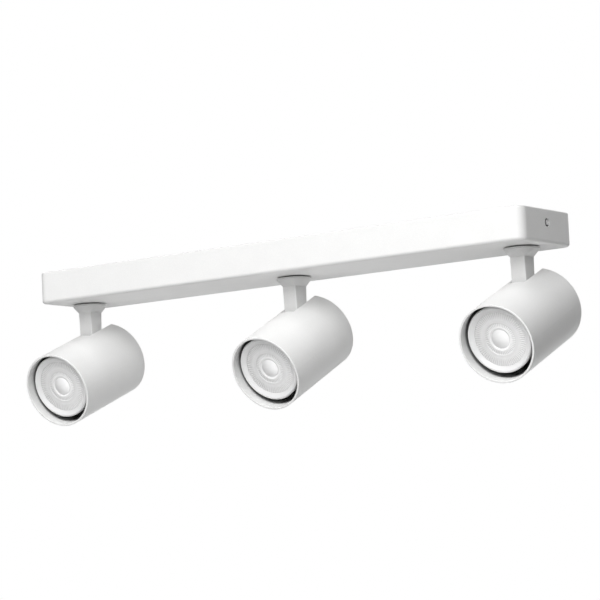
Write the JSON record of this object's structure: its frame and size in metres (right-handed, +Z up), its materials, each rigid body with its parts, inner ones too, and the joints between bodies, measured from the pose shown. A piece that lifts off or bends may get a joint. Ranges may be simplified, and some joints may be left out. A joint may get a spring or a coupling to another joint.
{
  "type": "ceiling spotlight bar",
  "caption": "White ceiling spotlight bar: a long shallow tray with swivelling, tilting tubular heads hung on short flat stems, each holding a push-and-twist reflector lamp.",
  "frame": {"origin": "middle of the ceiling side of the bar, midway between the two ceiling slots", "axes": "+X along the bar, to the right for someone facing the lamps; -Y the way the lamps look; +Z up to the ceiling"},
  "size_m": [0.4708, 0.1005, 0.1287],
  "materials": {
    "white_paint": "matte white powder coat on sheet steel and castings",
    "zinc_steel": "bright zinc plated",
    "black_rubber": "matte black",
    "block_plastic": "natural polyamide",
    "dark_nylon": "dark grey nylon",
    "brass": "plain turned brass",
    "brown_sleeve": "brown lead insulation",
    "blue_sleeve": "blue lead insulation",
    "green_sleeve": "green and yellow lead insulation",
    "lead_sleeve": "heat resistant sleeve, off-white",
    "ceramic": "unglazed steatite",
    "lamp_white": "white thermoplastic, semi-gloss",
    "lamp_lens": "clear ribbed optic, slightly milky",
    "lamp_board": "white solder mask on aluminium",
    "nickel": "nickel plated"
  },
  "bodies": {
    "bar": {"bar_housing": "white_paint", "ceiling_bracket": "zinc_steel", "end_screws": "zinc_steel", "cable_grommet": "black_rubber", "terminal_block": "block_plastic", "terminal_inserts": "brass", "terminal_screws": "zinc_steel", "earth_post": "brass", "stem_bushes": "dark_nylon", "live_leads": "brown_sleeve", "neutral_leads": "blue_sleeve", "earth_lead": "green_sleeve"},
    "left_stem": {"left_stem": "white_paint", "left_stop_washer": "zinc_steel", "left_stem_nut": "zinc_steel", "left_stem_leads": "lead_sleeve"},
    "left_head": {"left_tube": "white_paint", "left_rear_cap": "white_paint", "left_lamp_carrier": "zinc_steel", "left_pivot_screw": "zinc_steel", "left_friction_washers": "dark_nylon", "left_lampholder": "ceramic", "left_lampholder_screws": "zinc_steel", "left_head_leads": "lead_sleeve"},
    "left_lamp": {"left_lamp_body": "lamp_white", "left_lamp_lens": "lamp_lens", "left_lamp_board": "lamp_board", "left_lamp_pins": "nickel"},
    "centre_stem": {"centre_stem": "white_paint", "centre_stop_washer": "zinc_steel", "centre_stem_nut": "zinc_steel", "centre_stem_leads": "lead_sleeve"},
    "centre_head": {"centre_tube": "white_paint", "centre_rear_cap": "white_paint", "centre_lamp_carrier": "zinc_steel", "centre_pivot_screw": "zinc_steel", "centre_friction_washers": "dark_nylon", "centre_lampholder": "ceramic", "centre_lampholder_screws": "zinc_steel", "centre_head_leads": "lead_sleeve"},
    "centre_lamp": {"centre_lamp_body": "lamp_white", "centre_lamp_lens": "lamp_lens", "centre_lamp_board": "lamp_board", "centre_lamp_pins": "nickel"},
    "right_stem": {"right_stem": "white_paint", "right_stop_washer": "zinc_steel", "right_stem_nut": "zinc_steel", "right_stem_leads": "lead_sleeve"},
    "right_head": {"right_tube": "white_paint", "right_rear_cap": "white_paint", "right_lamp_carrier": "zinc_steel", "right_pivot_screw": "zinc_steel", "right_friction_washers": "dark_nylon", "right_lampholder": "ceramic", "right_lampholder_screws": "zinc_steel", "right_head_leads": "lead_sleeve"},
    "right_lamp": {"right_lamp_body": "lamp_white", "right_lamp_lens": "lamp_lens", "right_lamp_board": "lamp_board", "right_lamp_pins": "nickel"}
  },
  "joints": [
    {"name": "left_pan", "type": "hinge", "parent": "bar", "child": "left_stem", "pos_m": [-0.2048, 0, -0.0252], "axis": [0, 0, 1], "range_deg": [-165.5, 164.5]},
    {"name": "left_tilt", "type": "hinge", "parent": "left_stem", "child": "left_head", "pos_m": [-0.2048, 0, -0.0594], "axis": [1, 0.0087, 0], "range_deg": [-21.2, 68.8]},
    {"name": "left_lamp_twist", "type": "hinge", "parent": "left_head", "child": "left_lamp", "pos_m": [-0.20486, 0.00644, -0.07599], "axis": [0.0081, -0.9323, -0.3616], "range_deg": [0, 30]},
    {"name": "centre_pan", "type": "hinge", "parent": "bar", "child": "centre_stem", "pos_m": [0, 0, -0.0252], "axis": [0, 0, 1], "range_deg": [-162.8, 167.2]},
    {"name": "centre_tilt", "type": "hinge", "parent": "centre_stem", "child": "centre_head", "pos_m": [0, 0, -0.0594], "axis": [0.9993, -0.0384, 0], "range_deg": [-26.9, 63.1]},
    {"name": "centre_lamp_twist", "type": "hinge", "parent": "centre_head", "child": "centre_lamp", "pos_m": [0.00031, 0.00805, -0.07527], "axis": [-0.0342, -0.8911, -0.4524], "range_deg": [0, 30]},
    {"name": "right_pan", "type": "hinge", "parent": "bar", "child": "right_stem", "pos_m": [0.2048, 0, -0.0252], "axis": [0, 0, 1], "range_deg": [-166.2, 163.8]},
    {"name": "right_tilt", "type": "hinge", "parent": "right_stem", "child": "right_head", "pos_m": [0.2048, 0, -0.0594], "axis": [0.9998, 0.0209, 0], "range_deg": [-23.3, 66.7]},
    {"name": "right_lamp_twist", "type": "hinge", "parent": "right_head", "child": "right_lamp", "pos_m": [0.20465, 0.00704, -0.07575], "axis": [0.0192, -0.9182, -0.3955], "range_deg": [0, 30]}
  ]
}
